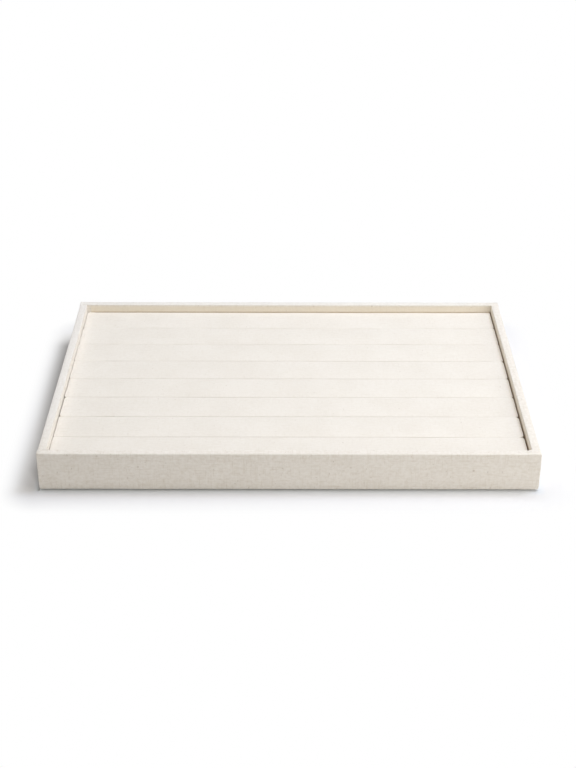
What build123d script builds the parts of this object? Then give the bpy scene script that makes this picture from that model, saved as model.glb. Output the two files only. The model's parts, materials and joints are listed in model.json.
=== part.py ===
"""Shallow linen-covered display tray with eight padded rolls that lift out.

All sizes are in millimetres. X runs along the long side, the front is at -Y, +Z is up,
and the origin is at the middle of the underside.
"""

from build123d import *
import os

# Overall size over the linen
tray_length = 350.0
tray_depth = 240.0
tray_height = 30.0

# Boards under the linen
wall_board = 5.0
base_board_thickness = 3.0
board_edge_radius = 0.4

# Linen on the tray
linen = 0.4
hem_width = 14.0
lining_clearance = 0.1

# Sheet under the tray
underside_thickness = 1.0
underside_inset = 3.0
underside_corner_radius = 1.5
underside_fit = 0.2

# Nails that hold the boards
nail_radius = 0.6
nail_head_radius = 1.0
nail_head_thickness = 0.5
nail_point = 1.5
nail_hole_clearance = 0.02
corner_nail_bite_share = 2.0
base_nail_bite_share = 0.45
corner_nail_height_shares = (0.3, 0.7)
long_wall_nail_shares = (-0.8, -0.4, 0.0, 0.4, 0.8)
short_wall_nail_shares = (-0.6, 0.0, 0.6)

# Padded rolls
roll_count = 8
roll_drop = 6.5
roll_gap = 0.3
left_end_gap = 0.35
right_end_gap = 0.75
left_gap_shares = (0.85, 1.15, 1.6, 1.1, 0.85, 0.85, 1.0, 1.3)
right_gap_shares = (1.1, 1.0, 0.95, 1.05, 1.0, 0.9, 0.95, 1.05)
roll_linen = 0.4
roll_hem = 8.0
roll_card_thickness = 1.5
card_edge_radius = 0.4
foam_crown = 0.4
foam_edge_radius = 0.4
foam_corner_radius = 2.4
core_clearance = 0.05

# Heights, from the underside up
board_bottom = underside_thickness + linen
floor_top = board_bottom + base_board_thickness
board_top = tray_height - linen
roll_bottom = floor_top + linen
roll_top = tray_height - roll_drop

# Footprints that follow from the sizes above
board_length = tray_length - 2 * linen
board_depth = tray_depth - 2 * linen
cavity_length = board_length - 2 * wall_board
cavity_depth = board_depth - 2 * wall_board
well_length = cavity_length - 2 * linen
well_depth = cavity_depth - 2 * linen
window_length = tray_length - 2 * hem_width
window_depth = tray_depth - 2 * hem_width
roll_pitch = (well_depth - roll_gap) / roll_count
roll_width = roll_pitch - roll_gap
roll_cover = roll_linen + core_clearance

# Nails: how deep each kind bites into the second board sets its length
corner_nail_length = wall_board * (1 + corner_nail_bite_share)
base_nail_length = base_board_thickness + base_nail_bite_share * (board_top - floor_top)


def centred_box(length, depth, low, high, mode=Mode.ADD):
    """Adds a block centred on X and Y, between two heights, to the part being built."""
    with BuildSketch(Plane.XY.offset(low)) as outline:
        Rectangle(length, depth)
    extrude(outline.sketch, amount=high - low, mode=mode)


def tray_form(grow):
    """Open box of walls and base, with every face moved outwards by grow."""
    radius = board_edge_radius + grow
    bottom = board_bottom - grow
    top = board_top + grow
    with BuildPart() as form:
        centred_box(board_length + 2 * grow, board_depth + 2 * grow, bottom, top)
        fillet(form.edges().filter_by(Axis.Z), radius=radius)
        fillet(form.faces().sort_by(Axis.Z)[0].edges(), radius=radius)
        centred_box(
            cavity_length - 2 * grow,
            cavity_depth - 2 * grow,
            floor_top + grow,
            top,
            mode=Mode.SUBTRACT,
        )
        fillet(form.faces().sort_by(Axis.Z)[-1].edges(), radius=radius)
    return form.part


def padded_form(grow, low, left, right, middle):
    """Soft bar with a crowned top and rounded edges, grown by grow from the foam and card inside.

    low is the height of its flat bottom, left and right are the ends of the linen along X,
    and middle is the bar's centre line along Y.
    """
    inset = roll_cover - grow
    half = roll_width / 2 - inset
    crown = roll_top - inset
    shoulder = crown - foam_crown
    with BuildPart() as form:
        with BuildSketch(Plane.YZ.offset(left + inset)):
            with BuildLine():
                Polyline(
                    (middle - half, shoulder),
                    (middle - half, low),
                    (middle + half, low),
                    (middle + half, shoulder),
                )
                ThreePointArc(
                    (middle + half, shoulder),
                    (middle, crown),
                    (middle - half, shoulder),
                )
            make_face()
        extrude(amount=right - left - 2 * inset)
        fillet(form.edges().filter_by(Axis.Z), radius=foam_corner_radius + grow)
        fillet(form.faces().sort_by(Axis.Z)[0].edges(), radius=card_edge_radius + grow)
        fillet(form.faces().sort_by(Axis.Z)[-1].edges(), radius=foam_edge_radius + grow)
    return form.part


def nail_form(length, clearance):
    """One nail, head down at the origin, with its shank along +Z."""
    shank = nail_radius + clearance
    head = nail_head_radius + clearance
    with BuildPart() as form:
        with BuildSketch(Plane.XZ):
            Polygon(
                (0, 0),
                (head, 0),
                (head, nail_head_thickness),
                (shank, nail_head_thickness),
                (shank, length - nail_point),
                (0, length + clearance),
                align=None,
            )
        revolve(axis=Axis.Z)
    return form.part


def corner_nail_places():
    """Where the nails go through the long walls into the ends of the short ones."""
    across = (board_length - wall_board) / 2
    heights = [floor_top + share * (board_top - floor_top) for share in corner_nail_height_shares]
    for side in (-1, 1):
        for height in heights:
            yield Plane((side * across, -board_depth / 2, height), z_dir=(0, 1, 0)).location
            yield Plane((side * across, board_depth / 2, height), z_dir=(0, -1, 0)).location


def base_nail_places():
    """Where the nails go up through the base board into the walls."""
    across = (board_length - wall_board) / 2
    along = (board_depth - wall_board) / 2
    for side in (-1, 1):
        for share in long_wall_nail_shares:
            yield Location((share * across, side * along, board_bottom))
        for share in short_wall_nail_shares:
            yield Location((side * across, share * along, board_bottom))


def export_piece(piece, name):
    """Labels a finished piece and writes it under its own name."""
    piece.label = name
    export_step(piece, f"parts/{name}.step")


os.makedirs("parts", exist_ok=True)

# Nails, and the holes that they fill
corner_nail_spots = list(corner_nail_places())
base_nail_spots = list(base_nail_places())
corner_nail_hole = nail_form(corner_nail_length, nail_hole_clearance)
base_nail_hole = nail_form(base_nail_length, nail_hole_clearance)

with BuildPart() as corner_nails:
    with Locations(*corner_nail_spots):
        add(nail_form(corner_nail_length, 0))

with BuildPart() as base_nails:
    with Locations(*base_nail_spots):
        add(nail_form(base_nail_length, 0))

# Base board
boards = tray_form(0)

with BuildPart() as base_board:
    add(boards)
    centred_box(board_length, board_depth, board_bottom, floor_top, mode=Mode.INTERSECT)
    with Locations(*base_nail_spots):
        add(base_nail_hole, mode=Mode.SUBTRACT)


def wall(length_range, depth_range):
    """One wall board: the part of the open box over a stretch of X and Y, above the base."""
    with BuildPart() as board:
        add(boards)
        with BuildSketch(Plane.XY.offset(floor_top)):
            with Locations((sum(length_range) / 2, sum(depth_range) / 2)):
                Rectangle(length_range[1] - length_range[0], depth_range[1] - depth_range[0])
        extrude(amount=board_top - floor_top, mode=Mode.INTERSECT)
        with Locations(*corner_nail_spots):
            add(corner_nail_hole, mode=Mode.SUBTRACT)
        with Locations(*base_nail_spots):
            add(base_nail_hole, mode=Mode.SUBTRACT)
    return board.part


long_wall = (-board_length / 2, board_length / 2)
short_wall = (-cavity_depth / 2, cavity_depth / 2)
front_wall_board = wall(long_wall, (-board_depth / 2, -cavity_depth / 2))
rear_wall_board = wall(long_wall, (cavity_depth / 2, board_depth / 2))
left_wall_board = wall((-board_length / 2, -cavity_length / 2), short_wall)
right_wall_board = wall((cavity_length / 2, board_length / 2), short_wall)

# Linen glued over the walls, turned in at the foot and hemmed under the base
with BuildPart() as tray_linen:
    add(tray_form(linen))
    add(boards, mode=Mode.SUBTRACT)
    centred_box(well_length, well_depth, floor_top, roll_bottom, mode=Mode.SUBTRACT)
    centred_box(window_length, window_depth, 0, board_bottom, mode=Mode.SUBTRACT)


def linen_strip(spans):
    """One strip of the tray's linen, cut out by upright blocks over spans of X, Y and Z."""
    with BuildPart() as region:
        for (x0, x1), (y0, y1), (z0, z1) in spans:
            with BuildSketch(Plane.XY.offset(z0)):
                with Locations(((x0 + x1) / 2, (y0 + y1) / 2)):
                    Rectangle(x1 - x0, y1 - y0)
            extrude(amount=z1 - z0)
    with BuildPart() as strip:
        add(tray_linen.part)
        add(region.part, mode=Mode.INTERSECT)
    return strip.part


full_height = (0, tray_height)
under_base = (0, board_bottom)
full_length = (-tray_length / 2, tray_length / 2)
hem_length = (-window_length / 2, window_length / 2)
side_depth = (-well_depth / 2, well_depth / 2)
front_linen = linen_strip(
    [
        (full_length, (-tray_depth / 2, -well_depth / 2), full_height),
        (hem_length, (-well_depth / 2, -window_depth / 2), under_base),
    ]
)
rear_linen = linen_strip(
    [
        (full_length, (well_depth / 2, tray_depth / 2), full_height),
        (hem_length, (window_depth / 2, well_depth / 2), under_base),
    ]
)
left_linen = linen_strip([((-tray_length / 2, -window_length / 2), side_depth, full_height)])
right_linen = linen_strip([((window_length / 2, tray_length / 2), side_depth, full_height)])

# Linen lining on the floor, between the walls
with BuildPart() as floor_lining:
    centred_box(
        well_length - 2 * lining_clearance,
        well_depth - 2 * lining_clearance,
        floor_top,
        roll_bottom,
    )

# Sheet glued under the base, over the raw edges of the hems, and pressed up between them
with BuildPart() as underside_sheet:
    centred_box(
        tray_length - 2 * underside_inset,
        tray_depth - 2 * underside_inset,
        0,
        underside_thickness,
    )
    fillet(underside_sheet.edges().filter_by(Axis.Z), radius=underside_corner_radius)
    centred_box(
        window_length - 2 * underside_fit,
        window_depth - 2 * underside_fit,
        underside_thickness,
        board_bottom,
    )

# Padded rolls, numbered from the front: foam on a card, wrapped in linen hemmed under the card
card_bottom = roll_bottom + roll_linen
card_top = card_bottom + roll_card_thickness
rolls = []
for number in range(roll_count):
    left_gap = left_end_gap * left_gap_shares[number % len(left_gap_shares)]
    right_gap = right_end_gap * right_gap_shares[number % len(right_gap_shares)]
    left_end = left_gap - well_length / 2
    right_end = well_length / 2 - right_gap
    middle = roll_gap + roll_width / 2 + number * roll_pitch - well_depth / 2
    place = (left_end, right_end, middle)
    core = padded_form(0, card_bottom, *place)

    with BuildPart() as cover:
        add(padded_form(roll_cover, roll_bottom, *place))
        add(padded_form(core_clearance, card_bottom, *place), mode=Mode.SUBTRACT)
        with BuildSketch(Plane.XY.offset(roll_bottom)):
            with Locations(((left_end + right_end) / 2, middle)):
                Rectangle(right_end - left_end - 2 * roll_hem, roll_width - 2 * roll_hem)
        extrude(amount=roll_linen, mode=Mode.SUBTRACT)

    with BuildPart() as card:
        add(core)
        split(bisect_by=Plane.XY.offset(card_top), keep=Keep.BOTTOM)

    with BuildPart() as foam:
        add(core)
        split(bisect_by=Plane.XY.offset(card_top), keep=Keep.TOP)

    rolls.append((cover.part, card.part, foam.part))

# Written pieces
export_piece(base_board.part, "base_board")
export_piece(front_wall_board, "front_wall_board")
export_piece(rear_wall_board, "rear_wall_board")
export_piece(left_wall_board, "left_wall_board")
export_piece(right_wall_board, "right_wall_board")
export_piece(corner_nails.part, "corner_nails")
export_piece(base_nails.part, "base_nails")
export_piece(front_linen, "front_linen")
export_piece(rear_linen, "rear_linen")
export_piece(left_linen, "left_linen")
export_piece(right_linen, "right_linen")
export_piece(floor_lining.part, "floor_lining")
export_piece(underside_sheet.part, "underside_sheet")
for number, (cover_piece, card_piece, foam_piece) in enumerate(rolls, start=1):
    export_piece(cover_piece, f"roll_{number}_linen")
    export_piece(card_piece, f"roll_{number}_card")
    export_piece(foam_piece, f"roll_{number}_foam")
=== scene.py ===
"""Looks of a shallow linen-covered display tray with eight padded bars that lift out.

Lengths are in metres, in the part's own frame: X along the long side, the front at -Y,
+Z up, and the origin at the middle of the underside.
"""

import json
import logging
import math
from dataclasses import dataclass
from enum import Enum
from itertools import product
from typing import Callable, ClassVar, Sequence

import bmesh
import bpy
from mathutils import Matrix, Vector, noise

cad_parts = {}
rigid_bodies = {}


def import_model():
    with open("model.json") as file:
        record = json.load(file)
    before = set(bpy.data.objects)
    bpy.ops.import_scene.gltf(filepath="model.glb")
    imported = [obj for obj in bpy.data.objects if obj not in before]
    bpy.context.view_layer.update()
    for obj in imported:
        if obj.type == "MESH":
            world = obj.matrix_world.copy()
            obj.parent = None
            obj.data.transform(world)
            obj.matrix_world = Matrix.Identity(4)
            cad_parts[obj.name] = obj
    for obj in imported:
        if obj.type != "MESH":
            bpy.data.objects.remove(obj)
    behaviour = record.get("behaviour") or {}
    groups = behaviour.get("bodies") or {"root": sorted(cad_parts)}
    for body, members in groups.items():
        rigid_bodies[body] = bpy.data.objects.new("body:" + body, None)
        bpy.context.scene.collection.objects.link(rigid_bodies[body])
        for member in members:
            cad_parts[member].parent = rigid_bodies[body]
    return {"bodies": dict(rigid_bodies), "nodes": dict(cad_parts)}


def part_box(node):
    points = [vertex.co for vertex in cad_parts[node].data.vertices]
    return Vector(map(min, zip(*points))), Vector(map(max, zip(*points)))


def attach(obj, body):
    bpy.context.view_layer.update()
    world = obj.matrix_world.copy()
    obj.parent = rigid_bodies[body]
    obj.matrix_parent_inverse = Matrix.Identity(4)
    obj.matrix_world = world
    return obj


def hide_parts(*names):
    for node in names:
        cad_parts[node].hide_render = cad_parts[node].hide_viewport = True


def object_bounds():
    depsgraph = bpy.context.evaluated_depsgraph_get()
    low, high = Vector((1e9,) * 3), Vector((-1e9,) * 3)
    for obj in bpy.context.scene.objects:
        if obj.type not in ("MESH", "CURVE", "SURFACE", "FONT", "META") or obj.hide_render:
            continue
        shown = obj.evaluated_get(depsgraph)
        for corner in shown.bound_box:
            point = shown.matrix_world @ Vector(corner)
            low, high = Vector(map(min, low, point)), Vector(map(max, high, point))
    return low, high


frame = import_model()
CAD_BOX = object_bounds()

log = logging.getLogger("display_tray")

WEAVE_MAP = "weave"

MM = 0.001
WELD = 1e-7  # points closer than this are one point
TOUCH = 1e-6  # a point closer than this to a face lies on it
STRAIGHT = 0.999  # an edge with this share of its length along an axis runs along it
SQUARE_ON = 0.75  # a face with this share of its normal along an axis looks that way

Color = tuple[float, float, float, float]
Pair = tuple[float, float]
Triple = tuple[float, float, float]
Row = tuple[float, ...]
Mesh, Face, Edge = bmesh.types.BMesh, bmesh.types.BMFace, bmesh.types.BMEdge
Piece, Material = bpy.types.Object, bpy.types.Material
NodeTree, Node, Socket = bpy.types.NodeTree, bpy.types.Node, bpy.types.NodeSocket
Number = float | Socket

WHITE: Color = (1, 1, 1, 1)
WARM: Color = (1.06, 1.0, 0.885, 1)
COOL: Color = (0.88, 0.97, 1.14, 1)
NEUTRAL: Color = (0.968, 0.979, 1.015, 1)


def smooth_step(value: float) -> float:
    """Eases a value from 0 to 1 with level ends.

    Args:
        value: Any number; below 0 counts as 0 and above 1 as 1.

    Returns:
        The eased value, from 0 to 1.
    """
    held = min(1.0, max(0.0, value))
    return held * held * (3 - 2 * held)


def height(face: Face) -> float:
    """How high a face's centre lies."""
    return face.calc_center_median().z


def cut(bm: Mesh, faces: Sequence, place: Vector, normal: Vector) -> None:
    """Cuts an edge loop into some faces of a mesh where a plane crosses them.

    Args:
        bm: The mesh.
        faces: The faces that are cut.
        place: A point of the plane.
        normal: The plane's normal.
    """
    edges = dict.fromkeys(edge for face in faces for edge in face.edges)
    verts = dict.fromkeys(vert for face in faces for vert in face.verts)
    whole = [*verts, *edges, *faces]
    bmesh.ops.bisect_plane(bm, geom=whole, dist=WELD, plane_co=place, plane_no=normal)


def cut_across(bm: Mesh, faces: Sequence, axis: int, place: float) -> None:
    """Cuts an edge loop into some faces where a plane square to an axis crosses them.

    Args:
        bm: The mesh.
        faces: The faces that are cut.
        axis: 0 for X, 1 for Y, 2 for Z.
        place: The plane's place along that axis.
    """
    normal = Vector((0, 0, 0))
    normal[axis] = 1
    cut(bm, faces, normal * place, normal)


def runs_along(edge: Edge, axis: int, shortest: float = 0.0) -> bool:
    """Whether an edge is longer than a length and parallel to an axis."""
    way = edge.verts[1].co - edge.verts[0].co
    return way.length > shortest and abs(way[axis]) > STRAIGHT * way.length


def both_ends(edge: Edge, test: Callable[[Vector], bool]) -> bool:
    """Whether both ends of an edge pass a test of a point."""
    return all(test(vert.co) for vert in edge.verts)


def divide_along(bm: Mesh, axis: int, cell: float, length: float, shortest: float) -> None:
    """Divides the long edges parallel to an axis, and the faces between them, into equal cells.

    Args:
        bm: The mesh.
        axis: 0 for X, 1 for Y, 2 for Z.
        cell: The wanted size of a cell.
        length: The length that the cells share.
        shortest: Edges no longer than this are left whole.
    """
    edges = [edge for edge in bm.edges if runs_along(edge, axis, shortest)]
    cuts = max(1, round(length / cell) - 1)
    bmesh.ops.subdivide_edges(bm, edges=edges, cuts=cuts, use_grid_fill=True)


def round_edges(bm: Mesh, edges: Sequence, radius: float, segments: int) -> None:
    """Rounds edges with an even bevel.

    Args:
        bm: The mesh.
        edges: Its edges that are rounded.
        radius: How far the rounding reaches from each edge.
        segments: How many faces it has across.
    """
    shape = {"offset_type": "OFFSET", "affect": "EDGES", "profile": 0.5, "clamp_overlap": True}
    bmesh.ops.bevel(bm, geom=list(edges), offset=radius, segments=segments, material=-1, **shape)


def block(low: Vector, high: Vector) -> Mesh:
    """A plain box between two corners, to be shaped further.

    Args:
        low: The lowest corner.
        high: The highest corner.

    Returns:
        A new mesh of six faces.
    """
    bm = bmesh.new()
    bmesh.ops.create_cube(bm, size=1.0)
    bmesh.ops.scale(bm, vec=high - low, verts=bm.verts)
    bmesh.ops.translate(bm, vec=(low + high) / 2, verts=bm.verts)
    return bm


def unevenness(place: Vector, reach: float, seed: float) -> float:
    """A smooth random height between about -1 and 1.

    Args:
        place: A point.
        reach: About how far apart the hills are.
        seed: Gives another pattern for each value.

    Returns:
        The height there.
    """
    return noise.noise(place / reach + Vector((seed, -seed, seed * 0.5)))


def roughen(bm: Mesh, waves: Sequence[Pair], seed: float) -> None:
    """Moves every vertex a little along its normal, as cloth never lies quite flat.

    Args:
        bm: The mesh, whose faces point outwards.
        waves: Pairs of a reach and a height.
        seed: Gives another pattern for each value.
    """
    bm.normal_update()
    moves = [
        vert.normal * sum(rise * unevenness(vert.co, reach, seed) for reach, rise in waves)
        for vert in bm.verts
    ]
    for vert, move in zip(bm.verts, moves):
        vert.co += move


def add_to_scene(thing: Piece) -> None:
    """Puts an object in the scene's own collection."""
    bpy.context.scene.collection.objects.link(thing)


def new_piece(name: str, bm: Mesh, material: Material, body: str) -> Piece:
    """Makes an object at the origin out of a finished mesh, and lets it ride on a body.

    Args:
        name: The piece's name.
        bm: The mesh, which is freed.
        material: Its finish.
        body: The CAD body that it moves with.

    Returns:
        The new object.
    """
    mesh = bpy.data.meshes.new(name)
    bm.to_mesh(mesh)
    bm.free()
    mesh.materials.append(material)
    for polygon in mesh.polygons:
        polygon.use_smooth = True
    piece = bpy.data.objects.new(name, mesh)
    add_to_scene(piece)
    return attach(piece, body)


def give_thickness(piece: Piece, thickness: float) -> None:
    """Thickens a skin of cloth inwards from its outer face.

    Args:
        piece: The skin, whose faces point outwards.
        thickness: The cloth's thickness.
    """
    solidify = piece.modifiers.new("cloth thickness", "SOLIDIFY")
    solidify.thickness = thickness
    solidify.offset = -1
    solidify.use_even_offset = True
    solidify.use_rim = True


def smooth_further(piece: Piece, levels: int) -> None:
    """Adds Subdivision Surface at the same level in the view and in the render."""
    surface = piece.modifiers.new("soft surface", "SUBSURF")
    surface.levels = surface.render_levels = levels


class Graph:
    """Places and wires shader nodes in one tree."""

    def __init__(self, tree: NodeTree) -> None:
        """Empties the tree and starts from nothing."""
        self.tree = tree
        self.tree.nodes.clear()

    def node(self, kind: str, inputs: dict | None = None, **settings) -> Node:
        """Adds a node.

        Args:
            kind: The node's type, without its ShaderNode prefix.
            inputs: Values or sockets for its inputs, by name or number.
            settings: Its other properties.

        Returns:
            The new node.
        """
        made = self.tree.nodes.new(kind if kind.startswith("Node") else f"ShaderNode{kind}")
        for name, value in settings.items():
            setattr(made, name, value)
        for name, value in (inputs or {}).items():
            if isinstance(value, Socket):
                self.tree.links.new(value, made.inputs[name])
            else:
                made.inputs[name].default_value = value
        return made

    def math(self, operation: str, *values: Number, clamp: bool = False) -> Socket:
        """The result of one Math node on up to three values."""
        made = self.node("Math", dict(enumerate(values)), operation=operation, use_clamp=clamp)
        return made.outputs[0]

    def vector(self, operation: str, *values) -> Node:
        """A Vector Math node on up to three vectors."""
        return self.node("VectorMath", dict(enumerate(values)), operation=operation)

    def chain(self, operation: str, *values: Number) -> Socket:
        """One Math operation taken over any number of values.

        Args:
            operation: The operation's name.
            values: Two or more values or sockets, taken from the left.

        Returns:
            The last result.
        """
        result = values[0]
        for value in values[1:]:
            result = self.math(operation, result, value)
        return result

    def times(self, *values: Number) -> Socket:
        """The product of values."""
        return self.chain("MULTIPLY", *values)

    def plus(self, *values: Number) -> Socket:
        """The sum of values."""
        return self.chain("ADD", *values)

    def most(self, *values: Number) -> Socket:
        """The largest of values."""
        return self.chain("MAXIMUM", *values)

    def minus(self, first: Number, second: Number) -> Socket:
        """What is left of a value when another is taken away."""
        return self.math("SUBTRACT", first, second)

    def place(self) -> Socket:
        """The point in Object coordinates."""
        return self.node("TexCoord").outputs["Object"]

    def parts(self, vector: Socket) -> Sequence[Socket]:
        """A vector's X, Y and Z."""
        return self.node("SeparateXYZ", {0: vector}).outputs

    def cloud(self, vector: Socket, scale: float, detail: float = 2.0) -> Socket:
        """A Noise Texture's value."""
        inputs = {"Vector": vector, "Scale": scale, "Detail": detail}
        return self.node("TexNoise", inputs).outputs["Fac"]

    def streaks(self, vector: Socket, scales: Triple, detail: float = 2.0) -> Socket:
        """A Noise Texture's value with its own scale along each axis."""
        return self.cloud(self.vector("MULTIPLY", vector, scales).outputs[0], 1.0, detail)

    def between(self, value: Number, low: Number, high: Number) -> Socket:
        """How far a value lies between two others, from 0 to 1, eased."""
        ends = {"Value": value, "From Min": low, "From Max": high}
        return self.node("MapRange", ends, interpolation_type="SMOOTHSTEP").outputs["Result"]

    def blend(self, share: Number, first: Color | Socket, second: Color | Socket) -> Socket:
        """Mixes two colours by a share."""
        return self.node("Mix", {0: share, 6: first, 7: second}, data_type="RGBA").outputs[2]

    def bump(self, height: Socket, depth: float) -> Socket:
        """A normal bent by a height, whose full range stands for a real depth."""
        return self.node("Bump", {"Height": height, "Distance": depth, "Strength": 1.0}).outputs[0]


class Kind(Enum):
    """The kinds of socket that the node groups here have."""

    VALUE = "NodeSocketFloat"
    VECTOR = "NodeSocketVector"
    COLOR = "NodeSocketColor"


class Effect:
    """A look that materials share, built once as a node group."""

    title: ClassVar[str]
    inputs: ClassVar[dict[str, Kind]]
    outputs: ClassVar[dict[str, Kind]]

    def wire(self, graph: Graph, given: Sequence[Socket]) -> dict[str, Socket]:
        """Wires the group from its input sockets, and gives its outputs by name."""
        raise NotImplementedError

    def group(self) -> NodeTree:
        """Makes the node group, or finds it again.

        Returns:
            The group.
        """
        known = bpy.data.node_groups.get(self.title)
        if known:
            return known
        group = bpy.data.node_groups.new(self.title, "ShaderNodeTree")
        for way, sockets in (("INPUT", self.inputs), ("OUTPUT", self.outputs)):
            for name, kind in sockets.items():
                group.interface.new_socket(name, in_out=way, socket_type=kind.value)
        graph = Graph(group)
        graph.node("NodeGroupOutput", self.wire(graph, graph.node("NodeGroupInput").outputs))
        return group

    def placed(self, graph: Graph, values: dict) -> Sequence[Socket]:
        """The outputs of the group, placed in a material with its own values."""
        return graph.node("Group", values, node_tree=self.group()).outputs


@dataclass(frozen=True)
class LinenWeave(Effect):
    """Plain linen weave with thick and thin yarns: its colour and its height.

    Scales are in cells per metre of the weave map.
    """

    title = "Linen weave"
    inputs = {
        "Place": Kind.VECTOR,
        "Thread Pitch": Kind.VALUE,
        "Slubs": Kind.VALUE,
        "Yarn": Kind.COLOR,
        "Deep And Shaded Yarn": Kind.COLOR,
        "Pale Yarn": Kind.COLOR,
    }
    outputs = {"Color": Kind.COLOR, "Height": Kind.VALUE}

    sway_scale: float = 160.0
    sway: float = 1.2 * MM
    run_scales: Triple = (75.0, 1000.0, 1.0)
    rise_scales: Triple = (1000.0, 95.0, 1.0)
    yarn_detail: float = 3.0
    run_thick: Pair = (0.5, 0.78)
    rise_thick: Pair = (0.5, 0.8)
    thin: Pair = (0.48, 0.26)
    cloud_scale: float = 28.0
    cloud_edges: Pair = (0.3, 0.7)
    cloud_share: float = 0.16
    mottle_scales: Triple = (370.0, 470.0, 1.0)
    mottle_share: float = 3.0
    pit_shade_share: float = 0.22
    pale_share: float = 0.35
    crossing_height: float = 0.6

    def wire(self, graph: Graph, given: Sequence[Socket]) -> dict[str, Socket]:
        """Wires crossing threads, slubs, gaps and mottling into a colour and a height, with painted
        shade in the pits between the crossings.

        Args:
            graph: The group's graph.
            given: The group's inputs.

        Returns:
            The group's outputs by name.
        """
        flat, slubbed = given["Place"], given["Slubs"]
        shift = graph.times(graph.minus(graph.cloud(flat, self.sway_scale), 0.5), self.sway)
        waves = []
        for part in graph.parts(flat)[:2]:
            turns = graph.math("DIVIDE", graph.plus(part, shift), given["Thread Pitch"])
            waves.append(graph.math("ABSOLUTE", graph.math("SINE", graph.times(turns, math.pi))))
        crossings = graph.times(*waves)
        run = graph.streaks(flat, self.run_scales, self.yarn_detail)
        rise = graph.streaks(flat, self.rise_scales, self.yarn_detail)
        thick_run = graph.between(run, *self.run_thick)
        thick = graph.most(thick_run, graph.between(rise, *self.rise_thick))
        thin = graph.most(graph.between(run, *self.thin), graph.between(rise, *self.thin))
        slubs = graph.times(thick, slubbed)
        gaps = graph.times(thin, slubbed)
        clouds = graph.cloud(flat, self.cloud_scale, self.yarn_detail)
        cloudy = graph.between(clouds, *self.cloud_edges)
        mottle = graph.minus(graph.streaks(flat, self.mottle_scales), 0.5)
        mottle = graph.times(mottle, graph.times(slubbed, self.mottle_share))
        shade = graph.plus(gaps, graph.times(cloudy, self.cloud_share), mottle)
        # painted shade in the pits between thread crossings
        painted_pit_shade = graph.times(graph.minus(1.0, crossings), self.pit_shade_share)
        deep_and_shaded = graph.math("ADD", shade, painted_pit_shade, clamp=True)
        color = graph.blend(deep_and_shaded, given["Yarn"], given["Deep And Shaded Yarn"])
        color = graph.blend(graph.times(slubs, self.pale_share), color, given["Pale Yarn"])
        relief = graph.plus(graph.times(crossings, self.crossing_height), graph.minus(slubs, gaps))
        return {"Color": color, "Height": graph.minus(relief, mottle)}


@dataclass(frozen=True)
class StrawFlecks(Effect):
    """Scattered bits of dark straw spun into the yarn: where they are, from 0 to 1."""

    title = "Straw flecks"
    inputs = {"Place": Kind.VECTOR, "Share": Kind.VALUE}
    outputs = {"Mask": Kind.VALUE}

    layers: tuple[Triple, ...] = ((210.0, 420.0, 1.0), (390.0, 190.0, 1.0))
    least_reach: float = 0.10
    more_reach: float = 0.16
    core: float = 0.3
    least_strength: float = 0.15
    more_strength: float = 0.85

    def wire(self, graph: Graph, given: Sequence[Socket]) -> dict[str, Socket]:
        """Wires two layers of flecks, one along each set of threads.

        Args:
            graph: The group's graph.
            given: The group's inputs.

        Returns:
            The group's output by name.
        """
        masks = []
        for scales in self.layers:
            place = graph.vector("MULTIPLY", given["Place"], scales).outputs[0]
            spread = {"Vector": place, "Scale": 1.0}
            cells = graph.node("TexVoronoi", spread, voronoi_dimensions="2D")
            chance = graph.node("SeparateColor", {0: cells.outputs["Color"]}).outputs
            picked = graph.math("LESS_THAN", chance[0], given["Share"])
            reach = graph.math("MULTIPLY_ADD", chance[1], self.more_reach, self.least_reach)
            spot = graph.between(cells.outputs["Distance"], reach, graph.times(reach, self.core))
            squared = graph.math("POWER", chance[2], 2.0)
            strength = graph.math("MULTIPLY_ADD", squared, self.more_strength, self.least_strength)
            masks.append(graph.times(picked, spot, strength))
        return {"Mask": graph.most(*masks)}


@dataclass(frozen=True)
class MattedFibres(Effect):
    """Short matted fibres in no direction, for felt, fibreboard and card."""

    title = "Matted fibres"
    inputs = {"Place": Kind.VECTOR, "Fineness": Kind.VALUE}
    outputs = {"Fibres": Kind.VALUE}

    bend_scale: float = 0.35
    bend: Triple = (3.0, 3.0, 3.0)
    ways: tuple[Triple, ...] = ((0.22, 1.6, 1.3), (1.6, 0.22, 1.3))
    detail: float = 4.0
    edges: Pair = (0.42, 0.78)

    def wire(self, graph: Graph, given: Sequence[Socket]) -> dict[str, Socket]:
        """Wires bent streaks in two directions.

        Args:
            graph: The group's graph.
            given: The group's inputs.

        Returns:
            The group's output by name.
        """
        scaled = {0: given["Place"], "Scale": given["Fineness"]}
        place = graph.node("VectorMath", scaled, operation="SCALE").outputs[0]
        waves = {"Vector": place, "Scale": self.bend_scale, "Detail": 2.0}
        bend = graph.node("TexNoise", waves).outputs["Color"]
        bent = graph.vector("MULTIPLY_ADD", bend, self.bend, place).outputs[0]
        matted = graph.most(*(graph.streaks(bent, way, self.detail) for way in self.ways))
        return {"Fibres": graph.between(matted, *self.edges)}


@dataclass(frozen=True)
class Finish:
    """A material with one Principled shader."""

    name: str

    def constants(self) -> dict[str, float]:
        """The shader's plain values by name."""
        raise NotImplementedError

    def paint(self, graph: Graph) -> dict[str, Socket]:
        """Wires the shader's other inputs, and gives them by name."""
        raise NotImplementedError

    def material(self) -> Material:
        """Makes the material.

        Returns:
            A material that reads Object coordinates or the piece's own weave map.
        """
        material = bpy.data.materials.new(self.name)
        material.use_nodes = True
        graph = Graph(material.node_tree)
        shader = graph.node("BsdfPrincipled", {**self.constants(), **self.paint(graph)})
        graph.node("OutputMaterial", {"Surface": shader.outputs[0]})
        return material


@dataclass(frozen=True)
class PaintedShade:
    """A painted shade on the walls' inner faces, full from a little below a height downwards."""

    color: Color
    share: float
    line: float
    fade: float


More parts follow.
